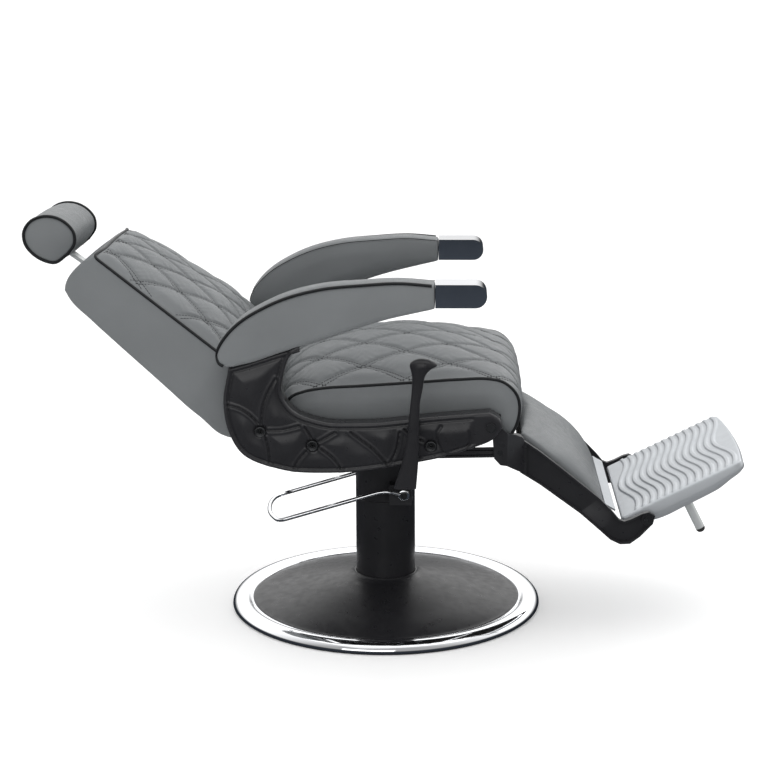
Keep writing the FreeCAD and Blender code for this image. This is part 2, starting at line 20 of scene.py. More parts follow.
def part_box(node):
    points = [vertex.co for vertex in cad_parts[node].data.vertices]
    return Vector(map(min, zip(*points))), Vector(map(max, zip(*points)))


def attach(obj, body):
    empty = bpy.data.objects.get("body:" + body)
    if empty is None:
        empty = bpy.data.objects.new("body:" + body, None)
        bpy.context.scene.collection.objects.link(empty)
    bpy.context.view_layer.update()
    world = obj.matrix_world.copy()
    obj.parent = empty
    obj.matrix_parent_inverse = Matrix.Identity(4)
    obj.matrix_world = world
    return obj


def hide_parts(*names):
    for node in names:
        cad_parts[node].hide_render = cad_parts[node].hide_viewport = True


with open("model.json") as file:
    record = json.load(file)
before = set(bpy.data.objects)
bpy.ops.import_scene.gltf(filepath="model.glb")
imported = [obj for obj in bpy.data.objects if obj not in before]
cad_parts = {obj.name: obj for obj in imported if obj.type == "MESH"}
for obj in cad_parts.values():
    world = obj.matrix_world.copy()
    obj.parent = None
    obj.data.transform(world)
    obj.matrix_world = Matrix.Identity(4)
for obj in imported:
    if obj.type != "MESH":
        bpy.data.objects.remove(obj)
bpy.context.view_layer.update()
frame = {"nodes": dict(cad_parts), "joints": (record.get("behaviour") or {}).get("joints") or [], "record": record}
JOINTS = {joint["name"]: joint for joint in frame["joints"]}


# ---- places taken from the CAD

def pivot(name):
    place = JOINTS[name]["pos_m"]
    return np.array([place[0], place[2]])


def corner(node):
    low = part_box(node)[0]
    return np.array([low.x, low.z])


RECLINE = pivot("recline")
LEGREST = pivot("legrest_swing")
LEVER = pivot("recline_lever")
FOOT = pivot("footplate_fold")
TILT = pivot("headrest_tilt")
SEAT = corner("seat_cushion")
ARM = corner("armrest_pad_right")
UP_BACK = np.array([JOINTS["headrest_height"]["axis"][0], JOINTS["headrest_height"]["axis"][2]])
OFF_BACK = np.array([UP_BACK[1], -UP_BACK[0]])

SEAT_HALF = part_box("seat_cushion")[1].y
SHELL_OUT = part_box("side_shell_left")[1].y
ARM_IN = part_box("armrest_pad_left")[0].y
ARM_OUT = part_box("armrest_pad_left")[1].y
HEAD_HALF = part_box("headrest_pad")[1].y


# ---- curves

def offsets(points, anchor):
    return np.array(anchor) + np.array(points, float) / 1000


def smooth(points, per=8):
    """A smooth curve through a few points, with `per` samples between neighbours."""
    p = np.array(points, float)
    p = np.vstack([2 * p[0] - p[1], p, 2 * p[-1] - p[-2]])
    gap = np.linalg.norm(np.diff(p, axis=0), axis=1)[:, None]
    slope = np.diff(p, axis=0) / gap
    tangent = (slope[1:] * gap[:-1] + slope[:-1] * gap[1:]) / (gap[1:] + gap[:-1])
    t = np.linspace(0, 1, per, endpoint=False)[:, None]
    runs = []
    for i in range(len(tangent) - 1):
        a, b, h = p[i + 1], p[i + 2], gap[i + 1]
        runs.append((1 + 2 * t) * (1 - t) ** 2 * a + t * (1 - t) ** 2 * h * tangent[i]
                    + t ** 2 * (3 - 2 * t) * b - t ** 2 * (1 - t) * h * tangent[i + 1])
    return np.vstack(runs + [p[-2:-1]])


def rounded(points, radius, per=6, closed=False):
    """Straight runs between points, with each corner turned through a short curve."""
    p = np.array(points, float)
    count = len(p)
    radii = np.broadcast_to(radius, count)
    runs = []
    for i in range(count):
        if not closed and i in (0, count - 1):
            runs.append(p[i:i + 1])
            continue
        arms = [p[i - 1] - p[i], p[(i + 1) % count] - p[i]]
        sizes = [np.linalg.norm(arm) for arm in arms]
        start, end = [p[i] + arm / size * min(radii[i], 0.45 * size) for arm, size in zip(arms, sizes)]
        t = np.linspace(0, 1, per)[:, None]
        runs.append((1 - t) ** 2 * start + 2 * t * (1 - t) * p[i] + t ** 2 * end)
    return np.vstack(runs)


def lengths(curve):
    steps = np.linalg.norm(np.diff(curve, axis=0), axis=1)
    return np.concatenate([[0.0], np.cumsum(steps)])


def sampled(curve, along, at):
    """Places on a curve whose points lie at the distances `along`."""
    return np.stack([np.interp(at, along, column) for column in curve.T], axis=1)


def resampled(curve, step):
    along = lengths(curve)
    count = max(2, int(round(along[-1] / step)) + 1)
    return sampled(curve, along, np.linspace(0, along[-1], count))


def blended(knots, at):
    """Value of a smooth curve through (place, value) knots."""
    curve = smooth(knots, 12)
    return np.interp(at, curve[:, 0], curve[:, 1])


def outward(curve, closed=False):
    """Unit normals on the left of a side-view curve."""
    if closed:
        run = np.roll(curve, -1, axis=0) - np.roll(curve, 1, axis=0)
    else:
        run = np.gradient(curve, axis=0)
    run /= np.linalg.norm(run, axis=1)[:, None] + 1e-12
    return np.stack([-run[:, 1], run[:, 0]], axis=1)


def at_width(curve, y):
    """Side-view curve placed at one distance across the chair."""
    return np.stack([curve[:, 0], np.broadcast_to(y, len(curve)), curve[:, 1]], axis=1)


def flipped(points):
    return points * np.array([1.0, -1.0, 1.0])


def ease(value, low, high):
    t = np.clip((value - low) / (high - low), 0, 1)
    return t * t * (3 - 2 * t)


# ---- filled outlines

def distance_to(points, curve):
    """Distance from each point to a sampled curve."""
    best = np.full(len(points), 1e9)
    for p in curve:
        best = np.minimum(best, (points[:, 0] - p[0]) ** 2 + (points[:, 1] - p[1]) ** 2)
    return np.sqrt(best)


def filled(outline, step):
    """Triangles inside a closed outline, with the interior points on an even grid."""
    low, high = outline.min(axis=0), outline.max(axis=0)
    xs, ys = np.arange(low[0], high[0], step), np.arange(low[1], high[1], step)
    grid = np.stack(np.meshgrid(xs, ys), axis=-1).reshape(-1, 2)
    keep = inside(grid, outline) & (distance_to(grid, outline) > 0.7 * step)
    points = np.vstack([outline, grid[keep]])
    count = len(outline)
    edges = [(i, (i + 1) % count) for i in range(count)]
    result = delaunay_2d_cdt([Vector(p) for p in points], edges, [], 1, 1e-7)
    return np.array([tuple(v) for v in result[0]]), result[2]


def inside(points, outline):
    """Even-odd test of points against a closed outline."""
    within = np.zeros(len(points), bool)
    for a, b in zip(outline, np.roll(outline, -1, axis=0)):
        crosses = (a[1] > points[:, 1]) != (b[1] > points[:, 1])
        slope = (b[0] - a[0]) / (b[1] - a[1] + 1e-15)
        within ^= crosses & (points[:, 0] < a[0] + slope * (points[:, 1] - a[1]))
    return within


def inwards(outline):
    """Unit normals of a closed outline that point into it."""
    normal = outward(outline, closed=True)
    return normal if inside(outline[:1] + normal[:1] * 0.002, outline)[0] else -normal


# ---- meshes

def added(name, data):
    """New object for a mesh, light or camera, placed in the scene."""
    obj = bpy.data.objects.new(name, data)
    bpy.context.scene.collection.objects.link(obj)
    return obj


def mesh_object(name, verts, faces, closed=True):
    mesh = bpy.data.meshes.new(name)
    mesh.from_pydata(np.asarray(verts, float).tolist(), [], [list(map(int, f)) for f in faces])
    mesh.validate()
    if closed:
        shape = bmesh.new()
        shape.from_mesh(mesh)
        bmesh.ops.recalc_face_normals(shape, faces=shape.faces)
        shape.to_mesh(mesh)
        shape.free()
    mesh.shade_smooth()
    return added(name, mesh)


def bridge(first, second, count):
    """Quads between two rings of vertices that start at the given numbers."""
    pairs = [(i, (i + 1) % count) for i in range(count)]
    return [(first + i, first + j, second + j, second + i) for i, j in pairs]


def ring_faces(rings, count, start=0):
    """Quads of a stack of rings with `count` vertices each."""
    starts = [start + r * count for r in range(rings)]
    return [face for a, b in zip(starts, starts[1:]) for face in bridge(a, b, count)]


def loft(name, rings):
    """Closed skin over a list of rings with the same number of points."""
    size = len(rings[0])
    faces = ring_faces(len(rings), size)
    faces.append(tuple(range(size)))
    faces.append(tuple(range((len(rings) - 1) * size, len(rings) * size)))
    return mesh_object(name, np.vstack(rings), faces)


def tube_rings(path, radius, sides=12, closed=False):
    path = np.asarray(path, float)
    if closed:
        run = np.roll(path, -1, axis=0) - np.roll(path, 1, axis=0)
    else:
        run = np.gradient(path, axis=0)
    run /= np.linalg.norm(run, axis=1)[:, None]
    first = np.cross(run[0], [0.31, 0.47, 0.83])
    normal = first / np.linalg.norm(first)
    angle = np.linspace(0, 2 * np.pi, sides, endpoint=False)
    radii = np.broadcast_to(radius, len(path))
    rings = []
    for point, along, r in zip(path, run, radii):
        normal = normal - along * np.dot(normal, along)
        normal /= np.linalg.norm(normal)
        other = np.cross(along, normal)
        rings.append(point + r * (np.cos(angle)[:, None] * normal + np.sin(angle)[:, None] * other))
    return rings


def tube(name, path, radius, sides=12, closed=False):
    rings = tube_rings(path, radius, sides, closed)
    if not closed:
        return loft(name, rings)
    faces = ring_faces(len(rings), sides) + bridge((len(rings) - 1) * sides, 0, sides)
    return mesh_object(name, np.vstack(rings), faces)


def joined(name, objects):
    """One mesh from several, so that a set of like pieces stays a single object."""
    verts, faces, base = [], [], 0
    for obj in objects:
        verts += [tuple(v.co) for v in obj.data.vertices]
        faces += [tuple(i + base for i in p.vertices) for p in obj.data.polygons]
        base = len(verts)
        bpy.data.objects.remove(obj)
    return mesh_object(name, verts, faces, closed=False)


def turned(name, profile, centre, axis, steps):
    """Lathe work: (radius, height) profile turned about an axis through centre."""
    axis = Vector(axis).normalized()
    side = np.array(axis.orthogonal().normalized())
    axis = np.array(axis)
    other = np.cross(axis, side)
    angle = np.linspace(0, 2 * np.pi, steps, endpoint=False)[:, None]
    circle = np.cos(angle) * side + np.sin(angle) * other
    rings = [np.array(centre) + axis * height + radius * circle for radius, height in profile]
    return loft(name, rings)


def mirror_copy(obj, name):
    verts = flipped(np.array([v.co for v in obj.data.vertices]))
    faces = [tuple(reversed(p.vertices)) for p in obj.data.polygons]
    copy = mesh_object(name, verts, faces, closed=False)
    for modifier in obj.modifiers:
        if modifier.type == "SOLIDIFY":
            solid = copy.modifiers.new(modifier.name, "SOLIDIFY")
            solid.thickness, solid.offset = modifier.thickness, modifier.offset
    return copy


def finished(obj, body, slot, *nodes, material=None):
    obj.data.materials.clear()
    obj.data.materials.append(material or SURFACES[slot])
    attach(obj, body)
    if nodes:
        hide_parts(*nodes)
    return obj


# ---- materials

def node(tree, kind, **settings):
    made = tree.nodes.new("ShaderNode" + kind)
    for key, value in settings.items():
        if key in made.inputs:
            made.inputs[key].default_value = value
        else:
            setattr(made, key, value)
    return made


def ranged(tree, source, low, high, out_low, out_high):
    mapped = node(tree, "MapRange")
    for key, value in (("From Min", low), ("From Max", high), ("To Min", out_low), ("To Max", out_high)):
        mapped.inputs[key].default_value = value
    tree.links.new(source, mapped.inputs["Value"])
    return mapped.outputs["Result"]


def noise(tree, place, scale, detail=3.0):
    made = node(tree, "TexNoise", Scale=scale, Detail=detail)
    tree.links.new(place, made.inputs["Vector"])
    return made.outputs["Fac"]


def grain_height(tree, place, kind, scale):
    """Height pattern of the surface's finest texture."""
    if kind == "leather":
        cells = node(tree, "TexVoronoi", feature="DISTANCE_TO_EDGE", Scale=scale)
        tree.links.new(place, cells.inputs["Vector"])
        return ranged(tree, cells.outputs["Distance"], 0.0, 0.35, 0.0, 1.0)
    if kind == "brushed":
        stretch = node(tree, "Mapping")
        stretch.inputs["Scale"].default_value = (1.0, 1.0, 0.04)
        tree.links.new(place, stretch.inputs["Vector"])
        return noise(tree, stretch.outputs["Vector"], scale, 4.0)
    if kind == "plies":
        layers = node(tree, "TexWave", Scale=scale, Distortion=1.5)
        tree.links.new(place, layers.inputs["Vector"])
        return layers.outputs["Fac"]
    return noise(tree, place, scale, 5.0)


def surface(name, colour, roughness, metallic=0.0, grain="fine", scale=900.0, depth=0.0001,
            spread=0.08, mottle=0.08, wear=0.15, sheen=0.0, specular=0.5):
    """A finish with fine grain, slow colour and gloss variation, and lighter worn edges."""
    material = bpy.data.materials.new(name)
    material.use_nodes = True
    tree = material.node_tree
    link = tree.links.new
    shader = tree.nodes["Principled BSDF"]
    place = node(tree, "TexCoord").outputs["Object"]
    slow = noise(tree, place, 9.0)
    colour = np.array(colour)
    mixed = node(tree, "Mix", data_type="RGBA")
    mixed.inputs["A"].default_value = (*np.clip(colour * (1 - mottle), 0, 1), 1)
    mixed.inputs["B"].default_value = (*np.clip(colour * (1 + mottle), 0, 1), 1)
    link(ranged(tree, slow, 0.3, 0.7, 0.0, 1.0), mixed.inputs["Factor"])
    edges = node(tree, "NewGeometry").outputs["Pointiness"]
    worn = node(tree, "Mix", data_type="RGBA")
    link(mixed.outputs["Result"], worn.inputs["A"])
    worn.inputs["B"].default_value = (*np.clip(colour * 1.5 + 0.03, 0, 1), 1)
    link(ranged(tree, edges, 0.52, 0.62, 0.0, wear), worn.inputs["Factor"])
    link(worn.outputs["Result"], shader.inputs["Base Color"])
    gloss = noise(tree, place, 55.0)
    link(ranged(tree, gloss, 0.25, 0.75, roughness - spread, roughness + spread),
         shader.inputs["Roughness"])
    shader.inputs["Metallic"].default_value = metallic
    shader.inputs["Specular IOR Level"].default_value = specular
    shader.inputs["Sheen Weight"].default_value = sheen
    bump = node(tree, "Bump", Strength=1.0, Distance=depth)
    link(grain_height(tree, place, grain, scale), bump.inputs["Height"])
    link(bump.outputs["Normal"], shader.inputs["Normal"])
    return material


SURFACES = {
    "leather": surface("grained_grey_leather", (0.142, 0.151, 0.156), 0.46, grain="leather",
                       scale=620.0, depth=0.00016, mottle=0.05, wear=0.25, sheen=0.04, specular=0.4),
    "painted": surface("satin_black_powder_coat", (0.015, 0.015, 0.017), 0.33, scale=320.0,
                       depth=0.00003, mottle=0.15, wear=0.5, specular=0.30),
    "moulded": surface("moulded_black_plastic", (0.016, 0.016, 0.018), 0.30, scale=280.0,
                       depth=0.00003, spread=0.04, mottle=0.12, wear=0.5, specular=0.40),
    "chrome": surface("polished_chrome", (0.80, 0.81, 0.83), 0.07, 1.0, scale=120.0,
                      depth=0.00002, spread=0.03, mottle=0.02, wear=0.05),
    "cast_aluminium": surface("bright_cast_aluminium", (0.43, 0.45, 0.47), 0.40, 0.55, scale=700.0,
                              depth=0.00010, spread=0.06, mottle=0.04, wear=0.3),
    "steel": surface("machined_steel", (0.50, 0.51, 0.52), 0.32, 1.0, grain="brushed",
                     scale=1200.0, depth=0.00005, mottle=0.06),
    "black_screw": surface("blackened_steel", (0.030, 0.031, 0.033), 0.26, 0.6, scale=1500.0,
                           depth=0.00004, mottle=0.1, wear=0.6),
    "bush_bronze": surface("machined_bronze", (0.48, 0.33, 0.15), 0.34, 1.0, grain="brushed",
                           scale=900.0, depth=0.00005, mottle=0.08),
    "rubber": surface("matte_black_rubber", (0.018, 0.018, 0.018), 0.72, scale=1800.0,
                      depth=0.0002, mottle=0.15, wear=0.3),
    # Painted shade: the plywood is coloured near black so that where it shows, in the gap between the seat and the
    # calf pad, it reads as the shade in that gap.
    "plywood": surface("black_stained_plywood", (0.020, 0.018, 0.017), 0.55, grain="plies", scale=60.0,
                       depth=0.0002, mottle=0.15),
}
PIPING = surface("black_piping_leather", (0.008, 0.009, 0.010), 0.38, grain="leather", scale=900.0,
                 depth=0.00012, mottle=0.1, wear=0.3, specular=0.25)
SATIN = surface("satin_chrome", (0.62, 0.64, 0.64), 0.34, 0.55, scale=300.0, depth=0.00003,
                spread=0.05, mottle=0.03)
THREAD = surface("grey_thread", (0.020, 0.022, 0.024), 0.70, scale=5000.0, depth=0.0001, mottle=0.1)


# ---- padded forms

EDGE = 0.004            # how far a cover turns in towards its piped seams
PIPING_RADIUS = 0.0033
SEAM_RADIUS = 0.0009    # plain sewn seam without piping
PANEL_STEP = 0.010      # spacing of points inside a side panel
FACE_STEP = 0.0022      # spacing of points along a quilted face
ACROSS = np.linspace(-1, 1, 237)
VOXEL = 0.005
PRESSURE = 4.0
FILLING_FRAMES = 20


def pad(name, loop, half_at, lift, bulge):
    """Pad whose side outline `loop` is carried across the chair and closed by side panels.

    half_at(points): half width at side-view points; lift(v): shift of the outline points at v,
    which runs from -1 to 1 across; bulge(depth): how far a side panel stands out at a depth
    inside its edge.
    """
    inward = inwards(loop)
    half = half_at(loop)
    middle = [at_width(loop + lift(v), (half - EDGE) * v) for v in ACROSS]
    turn = [(EDGE * (1 - math.cos(a)), EDGE * (math.sin(a) - 1)) for a in np.radians((30, 60, 90))]
    right = [at_width(loop + inward * drop, half + out) for drop, out in turn]
    rings = [flipped(ring) for ring in reversed(right)] + middle + right
    size = len(loop)
    faces = ring_faces(len(rings), size)
    points, panel = filled(loop + inward * EDGE, PANEL_STEP)
    out = half_at(points) + bulge(distance_to(points, loop + inward * EDGE))
    verts = np.vstack(rings)
    for sign, start in ((-1, 0), (1, (len(rings) - 1) * size)):
        extra = len(verts) - size
        verts = np.vstack([verts, at_width(points[size:], sign * out[size:])])
        faces += [tuple(start + i if i < size else extra + i for i in face) for face in panel]
    return mesh_object(name, verts, faces)


def applied(obj, modifier):
    """Fixes a modifier's result into the mesh."""
    bpy.context.view_layer.objects.active = obj
    with bpy.context.temp_override(object=obj, active_object=obj):
        bpy.ops.object.modifier_apply(modifier=modifier.name)


def places(obj):
    spots = np.empty(len(obj.data.vertices) * 3)
    obj.data.vertices.foreach_get("co", spots)
    return spots.reshape(-1, 3)


def plumped(obj, travel, seams):
    """Pad filled out by a short cloth simulation: pressure inside, held still along its seams."""
    remesh = obj.modifiers.new("even", "REMESH")
    remesh.mode, remesh.voxel_size = "VOXEL", VOXEL
    applied(obj, remesh)
    before = places(obj)
    tree = KDTree(len(seams))
    for index, spot in enumerate(seams):
        tree.insert(Vector(spot), index)
    tree.balance()
    held = obj.vertex_groups.new(name="held")
    for index, spot in enumerate(before):
        gap = tree.find(Vector(spot))[2]
        held.add([index], float(1 - ease(gap, 0.004, 0.012)), "REPLACE")
    cloth = obj.modifiers.new("filling", "CLOTH")
    settings = cloth.settings
    settings.quality = 5
    settings.use_pressure = True
    settings.uniform_pressure_force = PRESSURE
    settings.effector_weights.gravity = 0
    settings.vertex_group_mass = "held"
    cloth.point_cache.frame_start, cloth.point_cache.frame_end = 1, FILLING_FRAMES
    for step in range(1, FILLING_FRAMES + 1):
        bpy.context.scene.frame_set(step)
    shape = obj.evaluated_get(bpy.context.evaluated_depsgraph_get())
    after = np.array([v.co for v in shape.data.vertices])
    move = after - before
    size = np.linalg.norm(move, axis=1)[:, None] + 1e-9
    after = before + move / size * np.minimum(size, travel)
    obj.modifiers.remove(cloth)
    obj.data.vertices.foreach_set("co", after.ravel())
    bpy.context.scene.frame_set(1)
    fine = obj.modifiers.new("fine", "SUBSURF")
    fine.levels = fine.render_levels = 1
    applied(obj, fine)
    obj.data.shade_smooth()
    return obj


class Quilt:
    """Diamond quilting with double stitch lines, laid out along q and across y."""

    def __init__(self, origin, pitch_q, pitch_y, gap=0.009):
        self.origin, self.pitch_q, self.pitch_y, self.gap = origin, pitch_q, pitch_y, gap
        self.rate = math.hypot(1 / pitch_q, 1 / pitch_y)

    def lines(self, q, y):
        """Distance from the nearest stitch line of each direction."""
        a = (q - self.origin) / self.pitch_q + y / self.pitch_y
        b = (q - self.origin) / self.pitch_q - y / self.pitch_y
        near = [np.abs(c - np.round(c)) / self.rate for c in (a, b)]
        return near[0], near[1], a, b

    def height(self, q, y):
        """Low pillows between the seams, a narrow groove under each thread and small gathers."""
        to_a, to_b, a, b = self.lines(q, y)
        reach = 0.5 / self.rate - self.gap / 2
        full = 1.0
        for distance in (to_a, to_b):
            e = np.clip((distance - self.gap / 2) / reach, 0, 1)
            full = full * (0.28 + 0.72 * (1 - (1 - e) ** 2.2) ** 0.7)
        for distance in (to_a, to_b):
            full = full - 0.30 * np.exp(-((distance - self.gap / 2) / 0.0021) ** 2)
        for distance, along, phase in ((to_a, b, a), (to_b, a, b)):
            ripple = np.sin(2 * np.pi * along / self.rate / 0.019 + 3 * np.sin(5 * phase + 9 * along))
            e = np.clip(distance - self.gap / 2, 0, 1)
            full = full + 0.10 * ripple * np.exp(-e / 0.012) * ease(e, 0.0, 0.004)
        return full

    def seams(self, q_range, y_limit):
        """Both threads of every stitch line inside a rectangle, as runs of (q, y)."""
        span = int((q_range[1] - q_range[0]) / self.pitch_q + 2 * y_limit / self.pitch_y) + 4
        first = int((q_range[0] - self.origin) / self.pitch_q) - span
        runs = []
        for k in range(first, first + 3 * span):
            for sign in (1, -1):
                for side in (-1, 1):
                    level = k + side * self.gap / 2 * self.rate
                    y = np.arange(-y_limit, y_limit, 0.001)
                    q = self.origin + self.pitch_q * (level - sign * y / self.pitch_y)
                    inside = (q > q_range[0]) & (q < q_range[1])
                    if inside.sum() > 10:
                        runs.append(np.stack([q[inside], y[inside]], axis=1))
        return runs


def stitch_mesh(name, runs, skin, length=0.0056, pitch=0.0068, radius=0.00075):
    """Separate thread stitches laid on a surface along each run of points."""
    tree = BVHTree.FromPolygons([v.co for v in skin.data.vertices],
                                [p.vertices for p in skin.data.polygons])
    verts, faces = [], []
    angle = np.linspace(0, 2 * np.pi, 5, endpoint=False)
    for run in runs:
        along = lengths(run)
        for start in np.arange(0.002, along[-1] - length, pitch):
            ends = sampled(run, along, start + np.array([0, length / 2, length]))
            found = [tree.find_nearest(Vector(e), 0.03) for e in ends]
            if any(f[0] is None for f in found):
                continue
            rise = [0.1 * radius, 0.9 * radius, 0.1 * radius]
            spots = [f[0] + f[1] * r for f, r in zip(found, rise)]
            run_dir = (spots[2] - spots[0]).normalized()
            up = found[1][1]
            across = run_dir.cross(up).normalized()
            base = len(verts)
            for spot, r in zip(spots, (0.5 * radius, radius, 0.5 * radius)):
                for a in angle:
                    verts.append(tuple(spot + r * (math.cos(a) * across + math.sin(a) * up)))
            faces += ring_faces(3, 5, base)
            faces.append(tuple(base + i for i in range(5)))
            faces.append(tuple(base + 10 + i for i in range(5)))
    return mesh_object(name, verts, faces, closed=False)


# ---- seat cushion

SEAT_LINE = [(5, 40), (9, 62), (20, 77), (45, 88), (81, 95), (165, 101), (291, 110), (375, 116), (437, 117),
             (462, 112), (483, 98), (495, 82), (500, 66), (501, 50), (499, 33), (493, 13), (484, -4)]
SEAT_CROWN = [(-0.215, 0.004), (-0.185, 0.022), (-0.14, 0.046), (0.0, 0.066), (0.10, 0.062), (0.19, 0.042),
              (0.26, 0.018), (0.32, 0.006), (0.38, 0.002), (0.46, 0.001)]
SEAT_PUFF = 0.0085


def build_seat():
    top = resampled(smooth(offsets(SEAT_LINE, SEAT)), FACE_STEP)
    base = np.vstack([top[-1], SEAT + np.array([0.470, 0.0]), SEAT + np.array([0.002, 0.0]), top[0]])
    base = resampled(base, 0.010)[1:-1]
    loop = np.vstack([top, base])
    count = len(top)
    q = SEAT[0] + lengths(top)
    normal = outward(top)
    quilt = Quilt(-0.011, 0.183, 0.1005)
    crown = blended(SEAT_CROWN, q)
    ends = np.minimum(lengths(top), lengths(top[::-1])[::-1])

    def lift(v):
        y = np.full(count, SEAT_HALF * v)
        from_edge = SEAT_HALF * (1 - abs(v))
        puff = SEAT_PUFF * quilt.height(q, y) * ease(from_edge, 0.0, 0.030) * ease(ends, 0.0, 0.02)
        rise = crown * (1 - v * v) + puff * (1 - 0.35 * ease(q, 0.16, 0.30))
        return np.vstack([normal * rise[:, None], np.zeros((len(base), 2))])

    def bulge(depth):
        return 0.006 * ease(depth, 0.0, 0.030)

    cover = pad("seat_cover", loop, lambda p: np.full(len(p), SEAT_HALF), lift, bulge)
    finished(cover, "seat", "leather", "seat_cushion")

    def on_top(run):
        number = np.arange(count)
        index = np.interp(run[:, 0], q, number)
        place, lean = sampled(top, number, index), sampled(normal, number, index)
        rise = np.interp(index, number, crown) * (1 - (run[:, 1] / SEAT_HALF) ** 2)
        return at_width(place + lean * rise[:, None], run[:, 1])

    runs = [on_top(run) for run in quilt.seams((q[0] + 0.02, q[-1] - 0.005), SEAT_HALF - 0.006)]
    finished(stitch_mesh("seat_stitches", runs, cover), "seat", "leather", material=THREAD)

    edge = resampled(top, 0.006)
    edge = edge - outward(edge) * 0.0012
    lines = [tube("part", at_width(edge, side * (SEAT_HALF - 0.0008)), PIPING_RADIUS) for side in (-1, 1)]
    finished(joined("seat_piping", lines), "seat", "leather", material=PIPING)


# ---- backrest

BACK_LENGTH = 0.386
BACK_CROWN = [(-0.05, 0.020), (0.0, 0.024), (0.05, 0.034), (0.12, 0.041), (0.20, 0.045), (0.29, 0.044),
              (0.34, 0.030), (0.39, 0.006)]
BACK_PUFF = 0.0080
TOP_DIP = 0.006         # how far the middle of the top seam sags below its corners
# The ends and rear of the side view: (down the back, behind its face).
TOP_END = [(-12, 99), (-16, 92), (-20, 79), (-21, 66), (-20, 53), (-16, 35), (-8, 14), (0, 0)]
REAR_EDGE = [(386, 0), (428, 62), (455, 118), (456, 136), (440, 143), (376, 139), (265, 130), (153, 122),
             (68, 115), (9, 108), (-12, 99)]


def back_half(s):
    return np.minimum(0.194 + 0.217 * np.maximum(s, -0.03), 0.268)


def back_side(points):
    """Side view of (s down the back, depth behind its face), in metres."""
    points = np.asarray(points, float)
    origin = TILT - UP_BACK * 0.082 + OFF_BACK * 0.070
    return origin - points[:, :1] * UP_BACK - points[:, 1:] * OFF_BACK


def back_half_at(points):
    """Half width of the backrest at side-view places."""
    origin = back_side([(0, 0)])[0]
    return back_half((origin - points) @ UP_BACK)


def back_dome(v):
    return (1 - np.minimum(v * v, 1)) ** 0.7


def top_seam_dip(v, s):
    return TOP_DIP * ease(1 - abs(v), 0.0, 0.35) * (1 - ease(s, 0.0, 0.05))


def build_backrest():
    end = resampled(smooth(np.array(TOP_END) / 1000, 8), 0.005)[:-1]
    face_s = np.arange(0, BACK_LENGTH, FACE_STEP)
    face = np.stack([face_s, np.zeros(len(face_s))], axis=1)
    rear = resampled(smooth(np.array(REAR_EDGE) / 1000, 8), 0.008)[:-1]
    flat = np.vstack([end, face, rear])
    loop = back_side(flat)
    half = back_half_at(loop)
    first, last = len(end), len(end) + len(face)
    crown = np.zeros(len(flat))
    crown[first:last] = blended(BACK_CROWN, face_s)
    crown[:first] = crown[first] * ease(-end[:, 1], -0.100, 0.010)
    rear_swell = 0.008 * np.sin(np.pi * np.clip(np.arange(len(rear)) / len(rear), 0, 1))
    near_face = np.concatenate([ease(-end[:, 1], -0.060, 0.0), np.ones(len(face)), np.zeros(len(rear))])
    quilt = Quilt(0.108, 0.164, 0.100)
    ends = np.minimum(face_s, BACK_LENGTH - face_s)

    def lift(v):
        forward = crown * back_dome(v)
        forward[last:] -= rear_swell * (1 - v * v)
        y = half[first:last] * v
        from_edge = half[first:last] * (1 - abs(v))
        puff = BACK_PUFF * quilt.height(face_s, y)
        forward[first:last] += puff * ease(from_edge, 0.0, 0.026) * ease(ends, 0.0, 0.022)
        down = top_seam_dip(v, np.maximum(flat[:, 0], 0)) * near_face
        return forward[:, None] * OFF_BACK - down[:, None] * UP_BACK

    def bulge(depth):
        return 0.003 * ease(depth, 0.0, 0.045)

    cover = pad("back_cover", loop, back_half_at, lift, bulge)
    finished(cover, "backrest", "leather", "backrest_pad")

    def on_face(run):
        lift = blended(BACK_CROWN, run[:, 0]) * back_dome(run[:, 1] / back_half(run[:, 0]))
        return at_width(back_side(np.stack([run[:, 0], -lift], axis=1)), run[:, 1])

    runs = []
    for run in quilt.seams((0.008, BACK_LENGTH - 0.01), 0.262):
        kept = run[np.abs(run[:, 1]) < back_half(run[:, 0]) - 0.006]
        if len(kept) > 10:
            runs.append(on_face(kept))
    finished(stitch_mesh("back_stitches", runs, cover), "backrest", "leather", material=THREAD)

    down = np.arange(0, BACK_LENGTH, 0.006)
    side = at_width(back_side(np.stack([down, down * 0 + 0.0012], axis=1)), back_half(down) - 0.0008)
    v = np.linspace(0.985, -0.985, 80)
    over = np.stack([top_seam_dip(v, 0), 0.0008 - crown[first] * back_dome(v)], axis=1)
    over = at_width(back_side(over), v * half[first])
    under = at_width(back_side([(BACK_LENGTH - 0.002, -0.001)] * len(v)), -v * half[last - 1])
    path = np.vstack([side[::-1], over, flipped(side), under])
    path = resampled(np.vstack([path, path[:1]]), 0.005)[:-1]
    for _ in range(3):
        path = (np.roll(path, 1, axis=0) + 2 * path + np.roll(path, -1, axis=0)) / 4
    finished(tube("back_piping", path, PIPING_RADIUS, closed=True), "backrest", "leather", material=PIPING)


# ---- headrest

# Section of the roll about its tilt pin: (up the back, off its face).
HEAD_SECTION = [(-27, 22), (-26, 50), (-12, 68), (8, 75), (36, 73), (62, 58), (78, 32), (76, 4),
                (60, -14), (36, -22), (10, -21), (-14, -11)]
HEAD_BARREL = 0.065     # how much fuller the roll is in its middle
END_DOME = 0.010        # how far each end panel stands out


